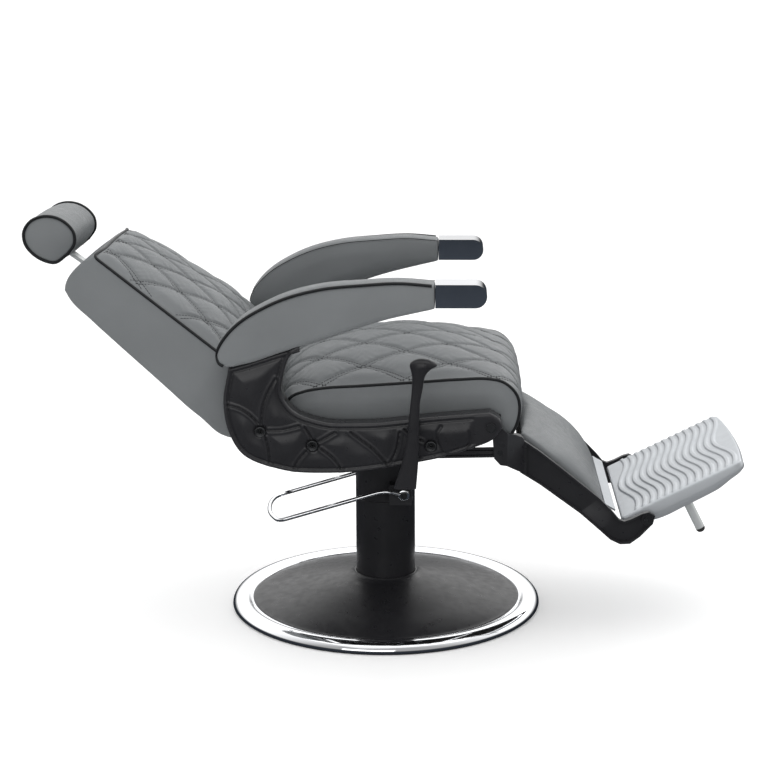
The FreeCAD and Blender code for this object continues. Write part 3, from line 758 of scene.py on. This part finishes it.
def build_headrest():
    section = np.array(HEAD_SECTION) / 1000
    place = TILT + section[:, :1] * UP_BACK + section[:, 1:] * OFF_BACK
    loop = resampled(smooth(np.vstack([place, place[:1]]), 10), 0.004)[:-1]
    centre = loop.mean(axis=0)

    def ring(y, size):
        return at_width(centre + (loop - centre) * size, y)

    half = HEAD_HALF - 0.006
    rings = [ring(-half - END_DOME * math.cos(math.pi / 2 * r), r) for r in np.linspace(0.05, 0.985, 14)]
    for y in np.linspace(-half, half, 60):
        v = y / half
        rings.append(ring(y, 1.0 + HEAD_BARREL * (1 - v * v) - 0.010 * abs(v) ** 12))
    rings += [ring(half + END_DOME * math.cos(math.pi / 2 * r), r) for r in np.linspace(0.985, 0.05, 14)]
    edges = np.vstack([ring(y, 1.0) for y in (-half, half)])
    cover = plumped(loft("headrest_cover", rings), 0.004, edges)
    finished(cover, "headrest", "leather", "headrest_pad")
    hoops = [tube("hoop", ring(y, 1.0), PIPING_RADIUS, closed=True) for y in (-half - 0.001, half + 0.001)]
    finished(joined("headrest_piping", hoops), "headrest", "leather", material=PIPING)


# ---- armrests

ARM_TOP = [(0, 23), (3, 37), (20, 67), (51, 98), (93, 124), (134, 143), (215, 165), (297, 173), (378, 177),
           (448, 171)]
ARM_BOTTOM = [(0, 23), (4, 8), (18, 0), (49, 5), (132, 32), (214, 58), (337, 97), (448, 122)]
ARM_SQUARE = 7.0        # how square the section is: 2 would be an ellipse


def build_armrests():
    count = 120
    share = (1 - np.cos(np.linspace(0.02, 1, count) * np.pi / 2)) ** 0.95
    curves = [smooth(offsets(points, ARM), 10) for points in (ARM_TOP, ARM_BOTTOM)]
    top, bottom = [sampled(curve, lengths(curve) / lengths(curve)[-1], share) for curve in curves]
    mid, rise = (top + bottom) / 2, (top - bottom) / 2
    centre, wide = (ARM_IN + ARM_OUT) / 2, (ARM_OUT - ARM_IN) / 2.12
    angle = np.linspace(0, 2 * np.pi, 64, endpoint=False)
    power = 2 / ARM_SQUARE
    c, s = np.cos(angle), np.sin(angle)
    x = np.sign(c) * np.abs(c) ** power
    z = np.sign(s) * np.abs(s) ** power
    rings, edge, under, inner = [], [], [], []
    for i in range(count):
        taper = ease(share[i], -0.004, 0.05)
        fat = 1 + 0.05 * (1 - z ** 2) * taper
        lift = 1 + 0.08 * (1 - x ** 2)
        w = wide * (0.80 + 0.20 * taper)
        spot = mid[i] + rise[i] * (z * lift)[:, None]
        rings.append(np.stack([spot[:, 0], -(centre + w * x * fat), spot[:, 1]], axis=1))
        for sign, seam in ((0.95, edge), (-0.95, under)):
            seam_spot = mid[i] + rise[i] * sign
            seam.append((seam_spot[0], -(centre + w * 0.965), seam_spot[1]))
        inner.append((edge[-1][0], -(centre - w * 0.975), edge[-1][2]))
    edges = np.vstack([edge, under, inner, rings[-1]])
    right = plumped(loft("armrest_cover_right", rings), 0.003, edges)
    left = mirror_copy(right, "armrest_cover_left")
    finished(right, "seat", "leather", "armrest_pad_right")
    finished(left, "seat", "leather", "armrest_pad_left")
    edge = resampled(smooth(np.array(under[22:6:-5] + [under[3], edge[0]] + edge[3::5]), 5), 0.005)
    inner = resampled(np.array(inner[3:]), 0.005)
    pieces = [tube("edge", side, PIPING_RADIUS) for side in (edge, flipped(edge))]
    pieces += [tube("seam", side, SEAM_RADIUS) for side in (inner, flipped(inner))]
    finished(joined("armrest_piping", pieces), "seat", "leather", material=PIPING)


# ---- calf pad

CALF_FACE = [(71, -58), (69, -43), (74, -30), (88, -30), (104, -37), (122, -47), (144, -62), (163, -76),
             (182, -94), (201, -115), (220, -140), (235, -167), (246, -193), (248, -201)]
CALF_BACK = [(248, -201), (244, -210), (165, -141), (84, -69), (71, -58)]


def build_calf_pad():
    face = resampled(smooth(offsets(CALF_FACE, LEGREST)), 0.004)
    back = resampled(np.array(offsets(CALF_BACK, LEGREST)), 0.008)[1:-1]
    axis = offsets([(84, -69), (246, -212)], LEGREST)
    run = (axis[1] - axis[0]) / np.linalg.norm(axis[1] - axis[0])
    away = np.array([-run[1], run[0]])
    loop = np.vstack([face, back])
    rise = np.clip((loop - axis[0]) @ away, 0, 1)
    fullness = 1.7 + 5.0 * ease((loop - axis[0]) @ run, 0.03, 0.16)
    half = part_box("calf_pad")[1].y - 0.006
    rings = []
    for v in np.sin(np.linspace(-np.pi / 2, np.pi / 2, 90)):
        dome = (1 - abs(v) ** fullness) ** 0.5
        low = 0.012 / np.maximum(rise.max(), 0.012)
        keep = low + (1 - low) * dome
        ring = loop - away * (rise * (1 - keep))[:, None]
        rings.append(at_width(ring, half * v))
    edges = np.vstack([rings[0], rings[-1], [ring[len(face) - 1] for ring in rings]])
    cover = plumped(loft("calf_cover", rings), 0.004, edges)
    finished(cover, "legrest", "leather", "calf_pad")


# ---- moulded side shells

SHELL_RUNS = [
    [(-64, 134), (-76, 59), (-67, 0), (-43, -45), (40, -82), (144, -89), (294, -71), (441, -34),
     (484, -14), (503, 11)],
    [(503, 11), (496, 28), (476, 42)],
    [(476, 42), (373, 34), (208, 18), (125, 22), (63, 50), (45, 86), (50, 122), (65, 161), (85, 179)],
    [(85, 179), (46, 168), (4, 154), (-37, 141), (-64, 134)],
]
CREASES = [
    [(-4, 17), (-20, 34), (-41, 48), (-68, 56)],
    [(2, 17), (5, 47), (14, 75), (34, 112)],
    [(16, 2), (43, 3), (62, 7), (81, 12)],
    [(10, -13), (16, -38), (18, -67)],
    [(106, -14), (100, -2), (93, 9)],
    [(122, -21), (139, -11), (156, -1)],
    [(95, -42), (78, -62), (69, -77)],
    [(126, -37), (149, -55), (167, -78)],
    [(188, -1), (207, -16), (232, -35), (265, -71)],
    [(267, -71), (282, -41), (290, 0)],
    [(300, 6), (315, -9), (337, -19)],
]
LOBE = [(375, 13), (365, -6), (367, -17), (375, -36), (381, -45), (406, -38), (429, -30), (435, -17),
        (434, 2)]
BUTTONS = [(0, 2), (108, -29), (354, -29)]


def shell_relief(points, border):
    """Height of the shell's face: raised rim, tufted panels and pressed creases."""
    to_rim = distance_to(points, border)
    creases = [resampled(smooth(offsets(c, RECLINE)), 0.002) for c in CREASES]
    to_crease = distance_to(points, np.vstack(creases))
    to_lobe = distance_to(points, resampled(smooth(offsets(LOBE, RECLINE)), 0.002))
    to_button = distance_to(points, offsets(BUTTONS, RECLINE))
    rim = 0.0030 * (1 - ease(to_rim, 0.004, 0.009))
    rim -= 0.0030 * np.exp(-((to_rim - 0.0100) / 0.0020) ** 2)
    tuft = 0.0038 * ease(to_rim, 0.010, 0.040) * ease(to_crease, 0.0, 0.034) * ease(to_button, 0.006, 0.040)
    moulded = 1 - ease(points[:, 0], RECLINE[0] + 0.432, RECLINE[0] + 0.446)
    rim, tuft = rim * moulded, tuft * moulded
    groove = 0.0046 * np.exp(-(to_crease / 0.0018) ** 2) + 0.0044 * np.exp(-(to_lobe / 0.0022) ** 2)
    groove -= 0.0016 * np.exp(-((to_crease - 0.0048) / 0.0022) ** 2) * moulded
    dish = 0.004 * (1 - ease(to_button, 0.009, 0.016))
    return rim + tuft - groove - dish


def build_shells():
    runs = [smooth(offsets(r, RECLINE), 10) for r in SHELL_RUNS]
    outline = np.vstack([run[:-1] for run in runs])
    outline = resampled(np.vstack([outline, outline[:1]]), 0.004)[:-1]
    inward = inwards(outline)
    radius = 0.006
    border = outline + inward * radius
    points, faces = filled(border, 0.0024)
    height = shell_relief(points, outline)
    face_y = -(SHELL_OUT - 0.003 + height)
    verts = [np.stack([points[:, 0], face_y, points[:, 1]], axis=1)]
    count = len(border)
    rim_height = height[:count]
    start = 0
    all_faces = [tuple(f) for f in faces]
    for step, (turn, drop) in enumerate([(30, 0), (60, 0), (90, 0), (90, 0.014), (90, 0.036)]):
        a = math.radians(turn)
        ring = border - inward * radius * math.sin(a)
        y = -(SHELL_OUT - 0.003 + rim_height - radius * (1 - math.cos(a)) - drop)
        verts.append(np.stack([ring[:, 0], y, ring[:, 1]], axis=1))
        base = len(points) + step * count
        all_faces += bridge(start, base, count)
        start = base
    right = mesh_object("side_shell_cover_right", np.vstack(verts), all_faces, closed=False)
    fix_outward(right, -1)
    solid = right.modifiers.new("wall", "SOLIDIFY")
    solid.thickness, solid.offset = 0.003, -1
    left = mirror_copy(right, "side_shell_cover_left")
    finished(right, "seat", "moulded", "side_shell_right")
    finished(left, "seat", "moulded", "side_shell_left")


def fix_outward(obj, sign):
    """Turns a one-sided sheet's faces so that its large face looks towards sign * Y."""
    shape = bmesh.new()
    shape.from_mesh(obj.data)
    bmesh.ops.recalc_face_normals(shape, faces=shape.faces)
    total = sum(f.normal.y * f.calc_area() for f in shape.faces)
    if total * sign < 0:
        bmesh.ops.reverse_faces(shape, faces=shape.faces)
    shape.to_mesh(obj.data)
    shape.free()


# ---- footplate

TREAD_ANGLE = math.radians(26.8)
TREAD_RISE = 0.0035
RIB_PITCH = 0.0177
TREAD_PLAN = [(0.0, -0.204), (0.284, -0.204), (0.2925, -0.110), (0.295, 0.0)]
TREAD_CORNERS = [0.008, 0.018, 0.09, 0.09]
SKIRT_SIDE = [(-0.02, 0.010), (0.02, 0.012), (0.045, 0.030), (0.066, 0.035), (0.145, 0.036), (0.19, 0.035),
              (0.217, 0.033), (0.244, 0.0265), (0.269, 0.021), (0.284, 0.0155), (0.31, 0.012)]


def tread_place(s, y, depth):
    """Place of a point `s` forward along the tread and `depth` under its top face."""
    back = offsets((-56, -8), FOOT)
    c, k = math.cos(TREAD_ANGLE), math.sin(TREAD_ANGLE)
    x = back[0] + s * c + depth * k
    z = back[1] + s * k - depth * c
    return np.stack([x, y, z], axis=1)


def tread_outline():
    """Plan of the tread as (s, y), starting at its rear right corner."""
    other = [(s, -y) for s, y in reversed(TREAD_PLAN[:-1])]
    corners = TREAD_CORNERS + TREAD_CORNERS[-2::-1]
    whole = rounded(TREAD_PLAN + other, corners, closed=True)
    return resampled(np.vstack([whole, whole[:1]]), 0.0025)[:-1]


def rib_height(points, outline):
    """Wavy steps across the tread, fading out at its smooth border."""
    s, y = points[:, 0], points[:, 1]
    wave = -0.013 * np.cos(2 * np.pi * (y - 0.005) / 0.305)
    step = np.clip(4.5 * np.sin(2 * np.pi * (s - 0.028 - wave) / RIB_PITCH), -1, 1)
    to_edge = distance_to(points, outline)
    patch = ease(to_edge, 0.003, 0.009) * ease(s - wave, 0.022, 0.030) * (1 - ease(s - wave, 0.268, 0.274))
    return TREAD_RISE * (0.5 + 0.5 * step) * patch


def skirt_depth(outline):
    """How deep the casting's wall hangs at each point of its outline."""
    s, y = outline[:, 0], np.abs(outline[:, 1])
    side = blended(SKIRT_SIDE, s)
    edge = ease(y, 0.175, 0.200)
    return 0.010 + (side - 0.010) * edge


def build_footplate():
    outline = tread_outline()
    inward = inwards(outline)
    radius, wall = 0.004, 0.005
    points, top = filled(outline + inward * radius, 0.0017)
    count = len(outline)
    verts = [tread_place(points[:, 0], points[:, 1], -rib_height(points, outline))]
    faces = [tuple(f) for f in top]
    deep = skirt_depth(outline)
    rings = [(radius * (1 - math.sin(a)), radius * (1 - math.cos(a))) for a in np.radians((30, 60, 90))]
    flare = 0.004 * (deep / 0.035)
    rings += [(-flare * t, radius + (deep - radius) * t) for t in (0.5, 1.0)]
    rings += [(wall - flare, deep), (wall, 0.008), (2 * wall, 0.006)]
    start, base = 0, len(points)
    for inset, down in rings:
        ring = outline + inward * np.broadcast_to(inset, count)[:, None]
        verts.append(tread_place(ring[:, 0], ring[:, 1], np.broadcast_to(down, count)))
        faces += bridge(start, base, count)
        start, base = base, base + count
    under, plain = filled(outline + inward * 2 * wall, 0.020)
    verts.append(tread_place(under[count:, 0], under[count:, 1], np.full(len(under) - count, 0.006)))
    faces += [tuple(start + i for i in reversed(f)) for f in plain]
    plate = mesh_object("footplate_casting", np.vstack(verts), faces)
    finished(plate, "footrest", "cast_aluminium", "footplate")


# ---- lever, pedal and screws

HANDLE_SECTIONS = [
    # height, middle and half length along the chair, half thickness
    (-20, -5, 23, 8), (-8, -3, 22, 8), (18, 2.5, 18.7, 8), (76, 10.3, 13.7, 8), (132, 14.2, 10.8, 8),
    (161, 16.2, 9.8, 8), (189, 20, 11, 8.5), (203, 21.7, 11.9, 9.5), (218, 23.2, 13.4, 11.5),
    (228, 25.6, 17.8, 13), (234, 28.3, 22.2, 14), (240, 33, 27.8, 14.5), (246, 32.5, 26, 13.5),
    (250, 31.2, 20.3, 11), (253, 30.4, 14, 7.5), (255, 30, 6, 3),
]


def build_lever():
    low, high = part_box("lever_handle")
    y = (low.y + high.y) / 2
    rows = smooth(np.array(HANDLE_SECTIONS, float), 5)
    angle = np.linspace(0, 2 * np.pi, 40, endpoint=False)
    c, s = np.cos(angle), np.sin(angle)
    rings = []
    for z, x, a, b in rows / 1000:
        power = 0.62 + 0.38 * ease(z, 0.19, 0.24)
        px = LEVER[0] + x + a * np.sign(c) * np.abs(c) ** power
        py = y + b * np.sign(s) * np.abs(s) ** power
        rings.append(np.stack([px, py, np.full(len(px), LEVER[1] + z)], axis=1))
    handle = loft("lever_handle_and_knob", rings)
    finished(handle, "lever", "painted", "lever_handle", "lever_knob")


PEDAL_PATH = [(0, -110, 0), (-42, -113, 11), (-278, -113, -60), (-303, -66, -56), (-309, 0, -54)]


def build_pedal():
    place = pivot("pump_pedal")
    half = np.array([(place[0] + x / 1000, y / 1000, place[1] + z / 1000) for x, y, z in PEDAL_PATH])
    path = np.vstack([half, flipped(half)[::-1][1:]])
    corners = [0.02, 0.02, 0.016, 0.06, 0.06, 0.06, 0.016, 0.02, 0.02]
    path = resampled(rounded(path, corners), 0.005)
    pieces = [tube("pedal_rod", path, 0.00475, 20)]
    for sign in (-1, 1):
        ring = [(8.2, -4), (12, -4), (12.8, -3), (12.8, 3), (12, 4), (8.2, 4), (8.2, -4)]
        centre = (place[0], sign * 0.108, place[1])
        pieces.append(turned("pedal_eye", [(r / 1000, h / 1000) for r, h in ring], centre, (0, 1, 0), 48))
    finished(joined("pedal_loop_bar", pieces), "pedal", "chrome", "pedal_loop")


def dished_screw(name, centre, sign):
    """Round button screw with a rolled rim, a dished face and a hexagon socket."""
    rim = [(0.5, -3.0), (3.4, -3.0), (3.5, -1.0), (5.2, -0.6), (7.0, 0.6), (8.2, 2.6), (9.4, 3.4),
           (10.6, 3.0), (11.2, 1.6), (11.2, -3.5), (4, -5)]
    cup = [(3.4, -2.5), (3.3, 0.6), (2.9, 0.9), (2.4, 0.6), (2.3, -2.5)]
    axis = (0, sign, 0)
    body = turned(name, [(r / 1000, h / 1000) for r, h in rim], centre, axis, 48)
    socket = turned(name, [(r / 1000, h / 1000) for r, h in cup], centre, axis, 6)
    return [body, socket]


def build_screws():
    groups = (("shell_screw_heads", "shell_screws", [offsets(b, RECLINE) for b in BUTTONS[1:]]),
              ("recline_screw_heads", "recline_pivot_pins", [RECLINE]))
    for name, node_name, places in groups:
        pieces = []
        for x, z in places:
            for sign in (-1, 1):
                pieces += dished_screw(name, (x, sign * (SHELL_OUT + 0.0005), z), sign)
        finished(joined(name, pieces), "seat", "black_screw", node_name)


# ---- base

def build_base():
    ring_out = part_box("base_ring")[1]
    r, top = ring_out.x, ring_out.z
    points = [(r - 0.0045, 0.0015), (r, 0.004), (r, 0.009), (r - 0.006, 0.0185), (r - 0.019, top),
              (r - 0.034, 0.0225), (r - 0.041, 0.0185), (r - 0.043, 0.0175)]
    lip = [(r - 0.0436, 0.0185), (r - 0.0450, 0.0192), (r - 0.0465, 0.0185), (r - 0.0468, 0.0120)]
    profile = np.vstack([smooth(np.array(points), 8), np.array(lip)])
    ring = turned("base_trim_ring", profile, (0, 0, 0), (0, 0, 1), 160)
    finished(ring, "base", "chrome", "base_ring")
    cover_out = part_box("base_cover")[1]
    edge, high = cover_out.x, cover_out.z
    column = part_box("pump_head")[1].y
    cone = [(edge, 0.012), (edge, 0.0165), (edge - 0.010, 0.0195), (0.255, 0.029), (0.200, 0.0405),
            (0.140, 0.0535), (0.100, 0.0625), (0.080, 0.0685), (0.0725, 0.0735), (0.0705, high),
            (column + 0.0012, high), (column + 0.0008, high - 0.008)]
    cover = turned("base_cone", smooth(np.array(cone), 6), (0, 0, 0), (0, 0, 1), 128)
    finished(cover, "base", "painted", "base_cover")


# ---- CAD nodes that stay

BEVELS = {"armrest_tips": 0.0030, "legrest_arms": 0.0016, "link_bars": 0.0012, "side_frames": 0.0008,
          "arm_brackets": 0.0008, "pump_head": 0.0020, "column_tube": 0.0015, "pedal_housing": 0.0050,
          "headrest_bar": 0.0012, "legrest_trim": 0.0006, "base_plate": 0.0010, "lever_shaft": 0.0010,
          "support_legs": 0.0008, "backrest_frame": 0.0010, "seat_frame": 0.0010}
FINISHES = {"headrest_bar": SATIN, "support_legs": SATIN}


def dress_cad_nodes():
    slots = {row["node"]: row["material_slot"] for row in frame["record"]["subparts"]}
    for name, obj in frame["nodes"].items():
        obj.data.materials.clear()
        obj.data.materials.append(FINISHES.get(name, SURFACES[slots[name]]))
        if obj.hide_render:
            continue
        obj.modifiers.new("weld", "WELD").merge_threshold = 0.00002
        bevel = obj.modifiers.new("bevel", "BEVEL")
        bevel.width = BEVELS.get(name, 0.0006)
        bevel.segments = 3
        bevel.limit_method = "ANGLE"
        bevel.angle_limit = math.radians(40)
        bevel.use_clamp_overlap = True
        obj.modifiers.new("normals", "WEIGHTED_NORMAL")


# ---- studio

CAMERA_PLACE = Vector((0.16257, -4.01376, 1.43860))
CAMERA_YAW, CAMERA_PITCH, CAMERA_ROLL = (math.radians(a) for a in (2.347, 13.016, -0.301))
LENS, SENSOR = 86.3, 36.0   # millimetres


def build_camera():
    forward = Vector((-math.sin(CAMERA_YAW) * math.cos(CAMERA_PITCH),
                      math.cos(CAMERA_YAW) * math.cos(CAMERA_PITCH), -math.sin(CAMERA_PITCH)))
    level = Vector((math.cos(CAMERA_YAW), math.sin(CAMERA_YAW), 0))
    above = level.cross(forward)
    right = level * math.cos(CAMERA_ROLL) + above * math.sin(CAMERA_ROLL)
    top = right.cross(forward)
    data = bpy.data.cameras.new("camera")
    data.lens, data.sensor_width = LENS, SENSOR
    camera = added("camera", data)
    camera.matrix_world = Matrix([(right.x, top.x, -forward.x, CAMERA_PLACE.x),
                                  (right.y, top.y, -forward.y, CAMERA_PLACE.y),
                                  (right.z, top.z, -forward.z, CAMERA_PLACE.z), (0, 0, 0, 1)])
    bpy.context.scene.camera = camera


def softbox(name, place, target, size, power):
    data = bpy.data.lights.new(name, "AREA")
    data.shape = "RECTANGLE"
    data.size, data.size_y = size
    data.energy = power
    light = added(name, data)
    light.location = place
    light.rotation_mode = "QUATERNION"
    light.rotation_quaternion = (Vector(target) - Vector(place)).to_track_quat("-Z", "Y")
    light.visible_camera = False


def build_floor():
    """Pale floor that looks darker in reflections, so that polished metal keeps its contrast."""
    size = 30.0
    sheet = [(x, y, 0.0) for x, y in ((-size, -size), (size, -size), (size, size), (-size, size))]
    floor = mesh_object("floor", sheet, [(0, 1, 2, 3)], closed=False)
    material = surface("pale_floor", (0.94, 0.94, 0.94), 0.60, mottle=0.005, wear=0.0)
    tree = material.node_tree
    link = tree.links.new
    shader = tree.nodes["Principled BSDF"]
    shader.inputs["Emission Color"].default_value = (1, 1, 1, 1)
    shader.inputs["Emission Strength"].default_value = 0.16
    dark = node(tree, "BsdfDiffuse")
    dark.inputs["Color"].default_value = (0.034, 0.040, 0.050, 1)
    choice = node(tree, "MixShader")
    link(node(tree, "LightPath").outputs["Is Glossy Ray"], choice.inputs["Fac"])
    link(shader.outputs["BSDF"], choice.inputs[1])
    link(dark.outputs["BSDF"], choice.inputs[2])
    link(choice.outputs["Shader"], tree.nodes["Material Output"].inputs["Surface"])
    floor.data.materials.append(material)


def build_world():
    """White behind the chair; elsewhere brighter above than below, and dark behind the camera."""
    world = bpy.data.worlds.new("studio")
    bpy.context.scene.world = world
    world.use_nodes = True
    tree = world.node_tree
    link = tree.links.new
    sky = tree.nodes["Background"]
    sky.inputs["Color"].default_value = (1.0, 1.0, 1.0, 1)
    place = node(tree, "TexCoord").outputs["Generated"]
    split = node(tree, "SeparateXYZ")
    link(place, split.inputs["Vector"])
    levels = []
    for low, high, rear, reach in ((0.60, 1.20, 0.75, (-0.05, 0.55)), (0.06, 1.5, 0.30, (0.0, 0.25))):
        height = ranged(tree, split.outputs["Z"], *reach, low, high)
        behind = ranged(tree, split.outputs["Y"], -0.6, 0.3, rear, 1.0)
        both = node(tree, "Math", operation="MULTIPLY")
        link(height, both.inputs[0])
        link(behind, both.inputs[1])
        levels.append(both.outputs["Value"])
    rays = node(tree, "LightPath")
    mirrored = node(tree, "Mix", data_type="FLOAT")
    link(rays.outputs["Is Glossy Ray"], mirrored.inputs["Factor"])
    link(levels[0], mirrored.inputs["A"])
    link(levels[1], mirrored.inputs["B"])
    level = node(tree, "Mix", data_type="FLOAT")
    level.inputs["B"].default_value = 1.2
    link(rays.outputs["Is Camera Ray"], level.inputs["Factor"])
    link(mirrored.outputs["Result"], level.inputs["A"])
    link(level.outputs["Result"], sky.inputs["Strength"])


def build_lights():
    softbox("overhead", (0.2, -0.4, 3.4), (0, 0, 0.5), (4.5, 3.5), 26)
    softbox("front", (-0.8, -4.4, 1.5), (0, 0, 0.5), (3.0, 2.0), 30)
    softbox("rim", (2.5, 3.0, 2.4), (0, 0, 0.5), (2.5, 2.0), 20)
    bpy.context.scene.view_settings.view_transform = "Standard"


build_seat()
build_backrest()
build_headrest()
build_armrests()
build_calf_pad()
build_shells()
build_footplate()
build_lever()
build_pedal()
build_screws()
build_base()
dress_cad_nodes()
build_camera()
build_floor()
build_world()
build_lights()
